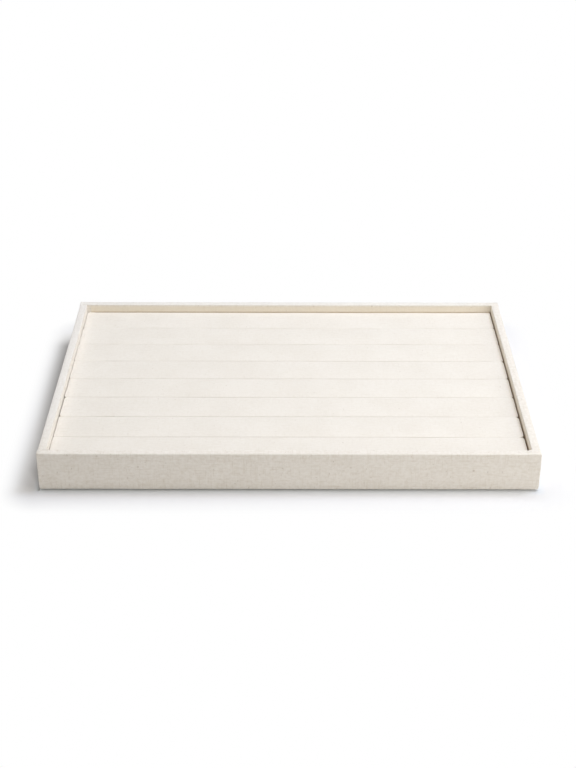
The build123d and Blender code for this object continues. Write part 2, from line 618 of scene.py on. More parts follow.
@dataclass(frozen=True)
class TrayPaintedLight:
    """Painted light on the tray's linen, by place.

    The inner faces carry a painted warm shade, and a painted brown shade low down in the gaps
    beside the bars, except on the left wall.
    The rim's top carries a painted highlight, paler and cooler, most at the left and the rear.
    """

    painted_shades: tuple[PaintedShade, ...] = (
        # painted warm shade over the inner faces
        PaintedShade((0.97, 0.89, 0.74, 1), share=0.6, line=30.0 * MM, fade=2.5 * MM),
        # painted brown shade low down on the inner faces, in the gaps beside the bars
        PaintedShade((0.36, 0.18, 0.025, 1), share=0.85, line=24.8 * MM, fade=3.2 * MM),
    )
    wall: float = 4.5 * MM
    painted_highlight: Color = (0.93, 0.92, 0.91, 1)
    painted_highlight_share: float = 0.4
    painted_highlight_fades: tuple[Pair, ...] = (
        (172 * MM, 140 * MM),
        (-115 * MM, -60 * MM),
        (29.4 * MM, 29.8 * MM),
    )

    def tint(self, graph: Graph, color: Socket) -> Socket:
        """Paints shade and a highlight into a colour.

        Args:
            graph: The material's graph.
            color: The linen's colour, before the painted shade and highlight.

        Returns:
            The colour with the painted shade and highlight.
        """
        parts = graph.parts(graph.place())
        inside = graph.math("GREATER_THAN", parts[0], CAD_BOX[0][0] + 2 * self.wall)
        for axis in (0, 1):
            inner = CAD_BOX[1][axis] - self.wall
            within = graph.math("LESS_THAN", graph.math("ABSOLUTE", parts[axis]), inner)
            inside = graph.times(inside, within)
        for painted_shade in self.painted_shades:
            below = graph.between(parts[2], painted_shade.line, painted_shade.line - painted_shade.fade)
            share = graph.times(below, graph.times(inside, painted_shade.share))
            color = graph.blend(share, color, painted_shade.color)
        # painted highlight: the rim's top paler and cooler, most at the left and the rear
        pale = self.painted_highlight_share
        for part, fade in zip(parts, self.painted_highlight_fades):
            pale = graph.times(graph.between(part, *fade), pale)
        return graph.blend(pale, color, self.painted_highlight)


@dataclass(frozen=True)
class LinenFinish(Finish):
    """Natural linen, whitened by bleaching to a warm white, with its slubs and straw flecks."""

    yarn: Color = (0.925, 0.885, 0.828, 1)
    deep_and_shaded_yarn: Color = (0.755, 0.695, 0.61, 1)
    pale_yarn: Color = (0.94, 0.92, 0.885, 1)
    straw: Color = (0.30, 0.21, 0.13, 1)
    thread_pitch: float = 0.55 * MM
    slubs: float = 0.40
    fleck_share: float = 0.08
    fleck_depth: float = 0.40
    relief: float = 0.10 * MM
    painted_light: TrayPaintedLight | None = None

    def constants(self) -> dict[str, float]:
        """The dull, slightly fuzzy surface of linen."""
        return {"Roughness": 0.92, "Sheen Weight": 0.2, "Sheen Roughness": 0.5, "IOR": 1.4}

    def paint(self, graph: Graph) -> dict[str, Socket]:
        """Wires the weave, the flecks and any painted shade and highlight into the shader's colour
        and normal.

        Args:
            graph: The material's graph.

        Returns:
            The shader's linked inputs by name.
        """
        place = graph.node("UVMap", uv_map=WEAVE_MAP).outputs[0]
        threads = {
            "Place": place,
            "Thread Pitch": self.thread_pitch,
            "Slubs": self.slubs,
            "Yarn": self.yarn,
            "Deep And Shaded Yarn": self.deep_and_shaded_yarn,
            "Pale Yarn": self.pale_yarn,
        }
        weave = LinenWeave().placed(graph, threads)
        flecks = StrawFlecks().placed(graph, {"Place": place, "Share": self.fleck_share})
        share = graph.times(flecks["Mask"], self.fleck_depth)
        color = graph.blend(share, weave["Color"], self.straw)
        # paints shade and a highlight into the tray's linen
        if self.painted_light:
            color = self.painted_light.tint(graph, color)
        return {"Base Color": color, "Normal": graph.bump(weave["Height"], self.relief)}


@dataclass(frozen=True)
class FibreFinish(Finish):
    """Matted fibres: felt, fibreboard or card, by their colours and fineness."""

    ground: Color
    fibre: Color
    fineness: float
    relief: float
    roughness: float

    def constants(self) -> dict[str, float]:
        """The surface's dullness."""
        return {"Roughness": self.roughness, "IOR": 1.4}

    def paint(self, graph: Graph) -> dict[str, Socket]:
        """Wires the fibres into the shader's colour and normal.

        Args:
            graph: The material's graph.

        Returns:
            The shader's linked inputs by name.
        """
        values = {"Place": graph.place(), "Fineness": self.fineness}
        fibres = MattedFibres().placed(graph, values)["Fibres"]
        color = graph.blend(fibres, self.ground, self.fibre)
        return {"Base Color": color, "Normal": graph.bump(fibres, self.relief)}


@dataclass(frozen=True)
class FoamFinish(Finish):
    """Soft open-cell foam: rounded cells, with painted shade in their darker mouths."""

    ground: Color = (0.82, 0.80, 0.72, 1)
    mouth_shade: Color = (0.52, 0.49, 0.42, 1)
    mouth_shade_edges: Pair = (0.15, 0.55)
    cell: float = 0.9 * MM
    relief: float = 0.2 * MM

    def constants(self) -> dict[str, float]:
        """The surface's dullness."""
        return {"Roughness": 0.95, "IOR": 1.4}

    def paint(self, graph: Graph) -> dict[str, Socket]:
        """Wires the cells into the shader's colour and normal.

        Args:
            graph: The material's graph.

        Returns:
            The shader's linked inputs by name.
        """
        cells = graph.node("TexVoronoi", {"Vector": graph.place(), "Scale": 1 / self.cell})
        rise = graph.between(cells.outputs["Distance"], *self.mouth_shade_edges)
        # painted shade: the cells' mouths darker where the bump is low
        color = graph.blend(rise, self.mouth_shade, self.ground)
        return {"Base Color": color, "Normal": graph.bump(rise, self.relief)}


@dataclass(frozen=True)
class WireFinish(Finish):
    """Plain drawn steel wire, a little dull and spotted."""

    bright: Color = (0.55, 0.55, 0.54, 1)
    dull: Color = (0.33, 0.31, 0.29, 1)
    spot_scale: float = 1800.0
    spot_edges: Pair = (0.45, 0.7)
    roughness: float = 0.3
    spot_roughness: float = 0.3

    def constants(self) -> dict[str, float]:
        """Bare metal."""
        return {"Metallic": 1.0}

    def paint(self, graph: Graph) -> dict[str, Socket]:
        """Wires the spots into the shader's colour and roughness.

        Args:
            graph: The material's graph.

        Returns:
            The shader's linked inputs by name.
        """
        spots = graph.between(graph.cloud(graph.place(), self.spot_scale, 3.0), *self.spot_edges)
        roughness = graph.math("MULTIPLY_ADD", spots, self.spot_roughness, self.roughness)
        return {"Base Color": graph.blend(spots, self.bright, self.dull), "Roughness": roughness}


class Side(Enum):
    """The four strips of the tray's linen, by the way that their wall faces out."""

    FRONT = (0, -1)
    REAR = (0, 1)
    LEFT = (-1, 0)
    RIGHT = (1, 0)

    @property
    def runs_full_length(self) -> bool:
        """Whether the strip has the corners, and its neighbours end against it."""
        return self.value[0] == 0


@dataclass
class TrayLinen:
    """Linen glued over the tray's walls, in four strips that butt near the corners."""

    finish: Material
    cell: float = 2.6 * MM
    outer_radius: float = 0.7 * MM
    inner_radius: float = 0.6 * MM
    segments: int = 3
    tuck_radius: float = 0.4 * MM
    tuck_segments: int = 2
    corner_layer: float = 0.28 * MM
    corner_ease: float = 2.5 * MM
    gather_height: float = 0.30 * MM
    gather_reach: float = 3.0 * MM
    rear_share: float = 0.3
    lip_reach: float = 0.8 * MM
    tuck_depth: float = 0.12 * MM
    wrap_start: float = 0.1 * MM
    off_rim: float = 0.01
    under_reach: float = 0.2 * MM
    waves: tuple[Pair, ...] = ((34 * MM, 0.10 * MM), (9 * MM, 0.05 * MM))
    seed: float = 3.1

    def __post_init__(self) -> None:
        """Reads the strips' sizes from the frame."""
        front_low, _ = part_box("front_linen")
        _, rear_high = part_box("rear_linen")
        left_low, left_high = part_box("left_linen")
        wall_low, wall_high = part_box("front_wall_board")
        self.thickness = wall_low.y - front_low.y
        self.low = front_low
        self.high = rear_high
        self.wall = wall_high.y - wall_low.y + 2 * self.thickness
        self.hem = left_high.x - left_low.x
        self.foot = wall_low.z
        self.joint = -left_low.y

    def skin(self) -> Mesh:
        """The outside of all the linen as one open skin.

        Returns:
            A mesh of the outside, the rim, the inner walls and the hems under the base.
        """
        bm = block(self.low, self.high)
        top, bottom = max(bm.faces, key=height), min(bm.faces, key=height)
        bmesh.ops.inset_region(bm, faces=[top], thickness=self.wall, use_even_offset=True)
        floor = bmesh.ops.extrude_discrete_faces(bm, faces=[top])["faces"]
        drop = Vector((0, 0, self.foot - self.high.z))
        bmesh.ops.translate(bm, vec=drop, verts=floor[0].verts)
        bmesh.ops.inset_region(bm, faces=[bottom], thickness=self.hem, use_even_offset=True)
        bmesh.ops.delete(bm, geom=[floor[0], bottom], context="FACES")
        self.round_skin(bm)
        self.divide_skin(bm)
        roughen(bm, self.waves, self.seed)
        return bm

    def inside(self, point: Vector) -> bool:
        """Whether a point lies on the walls' inner faces or edges."""
        reach = self.wall - 0.5 * self.inner_radius
        return abs(point.x) < self.high.x - reach and abs(point.y) < self.high.y - reach

    def round_skin(self, bm: Mesh) -> None:
        """Rounds the tucks in the inner corners, then the rim's inner edge and the outer edges.

        Args:
            bm: The skin, before it is divided.
        """
        middle = self.high.x - self.wall / 2
        upright = [edge for edge in bm.edges if runs_along(edge, 2)]
        tucks = [edge for edge in upright if abs(edge.verts[0].co.x) < middle]
        round_edges(bm, tucks, self.tuck_radius, self.tuck_segments)
        inner = [edge for edge in bm.edges if both_ends(edge, self.on_inner_rim)]
        round_edges(bm, inner, self.inner_radius, self.segments)
        outer = [edge for edge in bm.edges if both_ends(edge, self.is_outer_corner)]
        round_edges(bm, outer, self.outer_radius, self.segments)

    def on_inner_rim(self, point: Vector) -> bool:
        """Whether a point lies at the rim's height, over the walls' inner faces or between them."""
        well = self.high.x - self.wall
        return abs(point.z - self.high.z) < TOUCH and abs(point.x) < well + TOUCH

    def is_outer_corner(self, point: Vector) -> bool:
        """Whether a point is one of the block's eight outer corners."""
        return all(abs(abs(point[axis]) - self.high[axis]) < TOUCH for axis in (0, 1))

    def divide_skin(self, bm: Mesh) -> None:
        """Divides the skin into small cells, with loops beside the joints and along the hems.

        Args:
            bm: The rounded skin.
        """
        size = self.high - self.low
        for axis in (0, 1, 2):
            divide_along(bm, axis, self.cell, size[axis], 2 * self.cell)
        for side in (-1, 1):
            for step in (-self.lip_reach, 0.0, self.lip_reach):
                cut_across(bm, bm.faces, 1, side * (self.joint + step))
            cut_across(bm, bm.faces, 0, side * (self.high.x - self.hem))

    def side_of(self, face: Face) -> Side:
        """The strip that a face of the skin belongs to.

        Args:
            face: A face of the divided skin.

        Returns:
            The strip's side.
        """
        centre = face.calc_center_median()
        under = centre.z < self.low.z + self.under_reach and abs(centre.x) < self.high.x - self.hem
        if abs(centre.y) > self.joint - self.lip_reach / 3 or under:
            return Side.REAR if centre.y > 0 else Side.FRONT
        return Side.RIGHT if centre.x > 0 else Side.LEFT

    def shape_joints(self, bm: Mesh, side: Side) -> None:
        """Raises the doubled cloth at the corners, and tucks the short strips' ends under it.

        Args:
            bm: One strip.
            side: Which strip it is.
        """
        bm.normal_update()
        for vert in bm.verts:
            point = vert.co
            if point.z < self.low.z + self.outer_radius:
                continue
            past_joint = abs(point.y) - self.joint
            on_rim = smooth_step((point.z - self.high.z + self.inner_radius) / self.inner_radius)
            fullness = self.rear_share if point.y > 0 else 1.0
            if side.runs_full_length:
                from_end = self.high.x - abs(point.x)
                corner = 1 - smooth_step((from_end - self.wall) / self.corner_ease)
                wrap = 1 - smooth_step((from_end - self.wrap_start) / self.outer_radius)
                rise = self.corner_layer * max(corner * on_rim * fullness, wrap)
                to_tuck = math.hypot(from_end - self.wall, past_joint)
                gathered = 1 - smooth_step(to_tuck / self.gather_reach)
                rise += self.gather_height * fullness * on_rim * gathered
                vert.co += vert.normal * rise
            elif past_joint > -self.lip_reach:
                outside = 0.0 if self.inside(point) and on_rim < self.off_rim else 1.0
                share = smooth_step(1 + past_joint / self.lip_reach)
                vert.co -= vert.normal * self.tuck_depth * fullness * share * outside

    def map_weave(self, bm: Mesh, side: Side) -> None:
        """Lays the weave map over a strip: U along the wall, V up the outside, over and down.

        Args:
            bm: One strip.
            side: Which strip it is.
        """
        layer = bm.loops.layers.uv.new(WEAVE_MAP)
        across = 1 if side.runs_full_length else 0
        along = 1 - across
        for face in bm.faces:
            normal = face.normal
            is_end = side.runs_full_length and abs(normal[along]) > SQUARE_ON
            faces_in = normal[across] * face.calc_center_median()[across] < 0
            for loop in face.loops:
                point = loop.vert.co
                depth = self.high[across] - abs(point[across])
                run, rise = point[along], point.z + depth
                if is_end:
                    run, rise = math.copysign(self.high[along] + depth, run), point.z
                elif normal.z < -SQUARE_ON:
                    rise = point.z - depth
                elif faces_in and abs(normal[across]) > SQUARE_ON:
                    rise = 2 * self.high.z - point.z + depth
                loop[layer].uv = (run, rise)

    def strip(self, side: Side, skin: Mesh) -> Piece:
        """Cuts one strip out of the skin and finishes it.

        Args:
            side: Which strip.
            skin: The whole skin, which is left as it is.

        Returns:
            The strip, riding on the tray.
        """
        bm = skin.copy()
        others = [face for face in bm.faces if self.side_of(face) is not side]
        bmesh.ops.delete(bm, geom=others, context="FACES")
        self.shape_joints(bm, side)
        bm.normal_update()
        self.map_weave(bm, side)
        name = side.name.lower()
        piece = new_piece(f"{name}_linen_strip", bm, self.finish, "tray")
        give_thickness(piece, self.thickness)
        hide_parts(f"{name}_linen")
        return piece

    def build(self) -> list[Piece]:
        """Builds the four strips.

        Returns:
            The strips, in the order of their sides.
        """
        skin = self.skin()
        pieces = [self.strip(side, skin) for side in Side]
        skin.free()
        return pieces


@dataclass
class FloorLining:
    """Linen glued on the tray's floor, which shows in the gaps beside the bars."""

    finish: Material
    cell: float = 5 * MM
    waves: tuple[Pair, ...] = ((28 * MM, 0.04 * MM),)
    seed: float = 7.7

    def build(self) -> Piece:
        """Builds the lining as one level sheet.

        Returns:
            The sheet, riding on the tray.
        """
        low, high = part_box("floor_lining")
        bm = block(low, high)
        top = max(bm.faces, key=height)
        bmesh.ops.delete(bm, geom=[face for face in bm.faces if face is not top], context="FACES")
        size = high - low
        for axis in (0, 1):
            divide_along(bm, axis, self.cell, size[axis], 2 * self.cell)
        roughen(bm, self.waves, self.seed)
        for vert in bm.verts:
            vert.co.z = min(vert.co.z, high.z)
        bm.normal_update()
        layer = bm.loops.layers.uv.new(WEAVE_MAP)
        for face in bm.faces:
            for loop in face.loops:
                loop[layer].uv = loop.vert.co.xy
        piece = new_piece("floor_lining_sheet", bm, self.finish, "tray")
        give_thickness(piece, size.z)
        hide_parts("floor_lining")
        return piece


@dataclass
class UndersideSheet:
    """Felt glued under the base, over the raw edges of the hems."""

    finish: Material
    cell: float = 6 * MM
    corner_radius: float = 1.5 * MM
    corner_segments: int = 4
    edge_radius: float = 0.35 * MM
    edge_segments: int = 2
    waves: tuple[Pair, ...] = ((22 * MM, 0.05 * MM),)
    seed: float = 1.9

    def build(self) -> Piece:
        """Builds the sheet as a thin rounded slab, pressed up a little between the hems.

        Returns:
            The sheet, riding on the tray.
        """
        low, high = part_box("underside_sheet")
        seat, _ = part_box("front_linen")
        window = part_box("left_linen")[1].x
        bm = block(low, Vector((high.x, high.y, seat.z)))
        upright = [edge for edge in bm.edges if runs_along(edge, 2)]
        round_edges(bm, upright, self.corner_radius, self.corner_segments)
        top, bottom = max(bm.faces, key=height), min(bm.faces, key=height)
        round_edges(bm, bottom.edges, self.edge_radius, self.edge_segments)
        bmesh.ops.inset_region(bm, faces=[top], thickness=high.x + window, use_even_offset=True)
        bmesh.ops.inset_region(bm, faces=[top], thickness=self.edge_radius, depth=high.z - seat.z)
        size = high - low
        for axis in (0, 1):
            for step in range(1, round(size[axis] / self.cell)):
                cut_across(bm, bm.faces, axis, low[axis] + step * self.cell)
        roughen(bm, self.waves, self.seed)
        for vert in bm.verts:
            vert.co.z = max(vert.co.z, low.z)
        piece = new_piece("underside_felt_sheet", bm, self.finish, "tray")
        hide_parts("underside_sheet")
        return piece


@dataclass
class ClothPress:
    """Swells closed pieces of cloth from inside, with no gravity, and holds how far they move."""

    pressure: float = 4.0
    mass: float = 0.02
    stiffness: float = 15.0
    bending: float = 0.5
    frames: int = 20
    cap: float = 0.6 * MM

    def swell(self, piece: Piece, pinned: Callable[[Vector], bool]) -> None:
        """Simulates one piece and moves its vertices to where the cloth comes to rest.

        Args:
            piece: A piece with a closed mesh.
            pinned: Says of a point whether the cloth is held there.
        """
        start = [vert.co.copy() for vert in piece.data.vertices]
        held = piece.vertex_groups.new(name="held")
        held.add([n for n, place in enumerate(start) if pinned(place)], 1.0, "REPLACE")
        cloth = piece.modifiers.new("cloth", "CLOTH")
        settings = cloth.settings
        settings.mass = self.mass
        settings.tension_stiffness = settings.compression_stiffness = self.stiffness
        settings.shear_stiffness = self.stiffness / 2
        settings.bending_stiffness = self.bending
        settings.vertex_group_mass = held.name
        settings.use_pressure = True
        settings.uniform_pressure_force = self.pressure
        settings.effector_weights.gravity = 0
        cloth.point_cache.frame_start = 1
        cloth.point_cache.frame_end = self.frames
        scene = bpy.context.scene
        for number in range(1, self.frames + 1):
            scene.frame_set(number)
        shown = piece.evaluated_get(bpy.context.evaluated_depsgraph_get())
        moved = [vert.co.copy() for vert in shown.data.vertices]
        piece.modifiers.remove(cloth)
        piece.vertex_groups.remove(held)
        scene.frame_set(1)
        moves = [after - before for before, after in zip(start, moved)]
        furthest = max(move.length for move in moves)
        log.info("%s: cloth moved up to %.2f mm", piece.name, furthest / MM)
        shrink = min(1.0, self.cap / max(furthest, WELD))
        for vert, before, move in zip(piece.data.vertices, start, moves):
            vert.co = before + move * shrink


@dataclass
class PaddedBar:
    """One padded bar: a card foot and a foam body in a folded linen cover.

    The rows of shares go from the front bar to the rear one.
    """

    number: int
    linen: Material
    foam: Material
    card: Material
    press: ClothPress
    cell: float = 3.4 * MM
    cross_cell: float = 0.75
    foam_cell: float = 2.4
    side_play: float = 0.15 * MM
    segments: int = 3
    edge_radius: float = 0.32 * MM
    edge_shares: Row = (1.0, 0.9, 0.7, 0.7, 0.6, 0.5, 0.35, 0.25)
    corner_radius: float = 2.0 * MM
    left_corner_shares: Row = (0.6, 0.7, 1.3, 0.6, 0.6, 0.7, 0.6, 0.7)
    right_corner_shares: Row = (1.2, 1.5, 1.0, 0.8, 1.3, 0.8, 1.0, 0.8)
    left_reach_shares: Row = (0.7, 0.4, 0.0, 0.4, 1.0, 1.0, 0.9, 0.7)
    squeeze: float = 0.2 * MM
    squeeze_shares: Row = (0.0, 0.3, 0.4, 0.15, 0.15, 0.3, 0.6, 1.0)
    top_slack: float = 0.35 * MM
    end_slack: float = 0.1 * MM
    held_above: float = 0.2 * MM
    hem: float = 8 * MM
    wander: float = 0.16 * MM
    sway_reach: float = 55 * MM
    sway_share: float = 0.35
    swell_reach: float = 38 * MM
    swell_share: float = 0.8
    swell_across: float = 0.6
    swell_layer: float = 9.0
    end_reach: float = 0.6 * MM
    flap_layer: float = 0.35 * MM
    flap_edge: float = 0.5 * MM
    flap_facing: float = 0.3
    under_reach: float = 0.1 * MM
    top_facing: float = 0.7
    weave_shift: float = 31 * MM
    foam_play: float = 0.05 * MM
    seed_step: float = 2.3

    def __post_init__(self) -> None:
        """Reads the bar's sizes from the frame."""
        row = self.number - 1
        self.body = f"roll_{self.number}"
        self.low, self.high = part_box(f"{self.body}_linen")
        self.radius = self.edge_shares[row] * self.edge_radius
        self.corner_radii = [
            shares[row] * self.corner_radius
            for shares in (self.left_corner_shares, self.right_corner_shares)
        ]
        card_low, card_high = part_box(f"{self.body}_card")
        self.thickness = card_low.z - self.low.z
        self.card_top = card_high.z
        self.low.x -= self.left_reach_shares[row] * (self.low.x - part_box("floor_lining")[0].x)
        self.middle = (self.low + self.high) / 2
        self.seed = self.seed_step * self.number

    def bar(self, low: Vector, high: Vector, cell: float) -> Mesh:
        """A long closed bar with rounded edges, in cells small enough to swell.

        Args:
            low: The lowest corner.
            high: The highest corner.
            cell: The size of a cell along the bar.

        Returns:
            A closed mesh.
        """
        bm = block(low, high)
        middle = (low + high) / 2
        size = high - low
        for at_right, radius in enumerate(self.corner_radii):
            upright = [edge for edge in bm.edges if runs_along(edge, 2, size.z / 2)]
            corners = [
                edge for edge in upright if (edge.verts[0].co.x > middle.x) == bool(at_right)
            ]
            round_edges(bm, corners, radius, self.segments)
        level = [edge for edge in bm.edges if abs(edge.verts[0].co.z - edge.verts[1].co.z) < WELD]
        round_edges(bm, level, self.radius, self.segments)
        for axis, share in enumerate((1, self.cross_cell, self.cross_cell)):
            divide_along(bm, axis, share * cell, size[axis], 2 * self.corner_radius)
        return bm

    def build_cover(self) -> Piece:
        """Builds the linen cover: swollen by the foam, folded at its ends, hemmed under the card.

        Returns:
            The cover, riding on the bar's body.
        """
        play = Vector((0, self.side_play, 0))
        low = self.low - play + Vector((self.end_slack, 0, 0))
        high = self.high + play - Vector((self.end_slack, 0, self.top_slack))
        bm = self.bar(low, high, self.cell)
        piece = new_piece(f"{self.body}_cover", bm, self.linen, self.body)
        self.press.swell(piece, lambda place: place.z < self.card_top - self.held_above)
        bm = bmesh.new()
        bm.from_mesh(piece.data)
        self.settle(bm)
        self.fold_ends(bm)
        self.open_underside(bm)
        self.map_weave(bm)
        bm.to_mesh(piece.data)
        bm.free()
        smooth_further(piece, 1)
        give_thickness(piece, self.thickness)
        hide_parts(f"{self.body}_linen")
        return piece

    def settle(self, bm: Mesh) -> None:
        """Presses the swollen cover against its neighbours, and lets its line wander a little.

        Args:
            bm: The swollen cover.
        """
        half = (self.high.y - self.low.y) / 2 + self.side_play
        widen = 1 + self.squeeze_shares[self.number - 1] * self.squeeze / half
        for vert in bm.verts:
            point = vert.co
            lift = smooth_step((point.z - self.card_top) / (self.high.z - self.card_top))
            sway = unevenness(Vector((point.x, 0, 0)), self.sway_reach, self.seed)
            hill = Vector((point.x, point.y * self.swell_across, self.swell_layer))
            swell = unevenness(hill, self.swell_reach, self.seed)
            point.z += lift * self.wander * self.swell_share * swell
            across = widen * (point.y - self.middle.y)
            across = math.copysign(min(abs(across), half), across)
            point.y = self.middle.y + across + lift * self.wander * self.sway_share * sway
            point.x = min(max(point.x, self.low.x), self.high.x)
            point.z = max(point.z, self.low.z)

    def fold_ends(self, bm: Mesh) -> None:
        """Cuts and raises the pointed flap that closes each end of the cover.

        Args:
            bm: The settled cover.
        """
        centre = self.middle.y
        apex = self.high.z - (self.high.y - self.low.y) / 2
        ends, offsets = (self.low.x, self.high.x), (0.0, self.flap_edge)
        for end, slope, offset in product(ends, (-1, 1), offsets):
            near = [
                face
                for face in bm.faces
                if abs(face.calc_center_median().x - end) < self.end_reach
            ]
            cut(bm, near, Vector((0, centre, apex + offset)), Vector((0, slope, -1)))
        bm.normal_update()
        for vert in bm.verts:
            from_end = min(vert.co.x - self.low.x, self.high.x - vert.co.x)
            if from_end < self.edge_radius and abs(vert.normal.x) > self.flap_facing:
                within = vert.co.z - apex - abs(vert.co.y - centre)
                share = min(1.0, max(0.0, within / self.flap_edge))
                inward = math.copysign(1.0, self.middle.x - vert.co.x)
                vert.co.x += inward * self.flap_layer * (1 - share)

    def open_underside(self, bm: Mesh) -> None:
        """Opens the cover under the card, inside its hems.

        Args:
            bm: The folded cover.
        """
        inset = Vector((self.hem, self.hem, 0))
        inner_low, inner_high = self.low + inset, self.high - inset
        for axis, corner in product((0, 1), (inner_low, inner_high)):
            cut_across(bm, self.under(bm), axis, corner[axis])
        gone = []
        for face in self.under(bm):
            centre = face.calc_center_median()
            if all(inner_low[axis] < centre[axis] < inner_high[axis] for axis in (0, 1)):
                gone.append(face)
        bmesh.ops.delete(bm, geom=gone, context="FACES")

    def under(self, bm: Mesh) -> list[Face]:
        """The cover's faces under the card."""
        return [face for face in bm.faces if height(face) < self.low.z + self.under_reach]

    def map_weave(self, bm: Mesh) -> None:
        """Lays the weave map over the cover: U along the bar, V round it.

        Args:
            bm: The finished cover.
        """
        bm.normal_update()
        layer = bm.loops.layers.uv.new(WEAVE_MAP)
        half = (self.high.y - self.low.y) / 2
        shift = self.weave_shift * self.number
        for face in bm.faces:
            normal = face.normal
            for loop in face.loops:
                point = loop.vert.co
                across = point.y - self.middle.y
                run, rise = point.x, across
                if abs(normal.x) > SQUARE_ON:
                    run, rise = across, point.z
                elif abs(normal.z) < self.top_facing:
                    rise = math.copysign(half + self.high.z - point.z, across)
                loop[layer].uv = (run + shift, rise + shift)

    def build_foam(self) -> Piece:
        """Builds the foam body inside the cover, on the card.

        Returns:
            The foam, riding on the bar's body.
        """
        room = self.thickness + self.top_slack + self.foam_play
        inset = Vector((room, room, 0))
        low = Vector((self.low.x, self.low.y, self.card_top)) + inset
        high = self.high - inset - Vector((0, 0, room))
        bm = self.bar(low, high, self.foam_cell * self.cell)
        piece = new_piece(f"{self.body}_foam_bar", bm, self.foam, self.body)
        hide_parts(f"{self.body}_foam")
        return piece

    def build(self) -> list[Piece]:
        """Dresses the bar's card, and builds its cover and its foam.

        Returns:
            The cover and the foam.
        """
        dress(f"{self.body}_card", self.card)
        return [self.build_cover(), self.build_foam()]


def dress(node: str, material: Material) -> None:
    """Gives a CAD node that stays in sight its finish.

    Args:
        node: The node's name.
        material: Its finish.
    """
    shown = frame["nodes"][node]
    if not shown.material_slots:
        shown.data.materials.append(material)
    for material_slot in shown.material_slots:
        material_slot.material = material


@dataclass
class TrayBoards:
    """The boards and nails under the linen, which keep their own shapes."""

    board: Material
    steel: Material
    board_nodes: tuple = ("base_board", *(f"{side.name.lower()}_wall_board" for side in Side))
    nail_nodes: tuple = ("corner_nails", "base_nails")

    def build(self) -> None:
        """Dresses the boards and the nails."""
        for material, nodes in ((self.board, self.board_nodes), (self.steel, self.nail_nodes)):
            for node in nodes:
                dress(node, material)


def seen_directly(graph: Graph) -> Socket:
    """1 for rays that show the thing itself, and 0 for its light on other things."""
    path = graph.node("LightPath").outputs
    return graph.most(*(path[f"Is {kind} Ray"] for kind in ("Camera", "Glossy", "Transmission")))


@dataclass(frozen=True)
class Lamp:
    """A square soft lamp that points at the tray.

    Its strength is the light that it gives on the tray, as the plain share of white.
    """

    name: str
    place: Triple
    size: float
    strength: float
    color: Color

    def build(self) -> None:
        """Hangs the lamp."""
        place = Vector(self.place)
        data = bpy.data.lights.new(self.name, "AREA")
        data.size = self.size
        data.energy = self.strength * 4 * math.pi * place.length_squared * math.pi / 4
        data.color = self.color[:3]
        lamp = bpy.data.objects.new(self.name, data)
        lamp.location = place
        lamp.rotation_euler = (-place).to_track_quat("-Z", "Y").to_euler()
        add_to_scene(lamp)


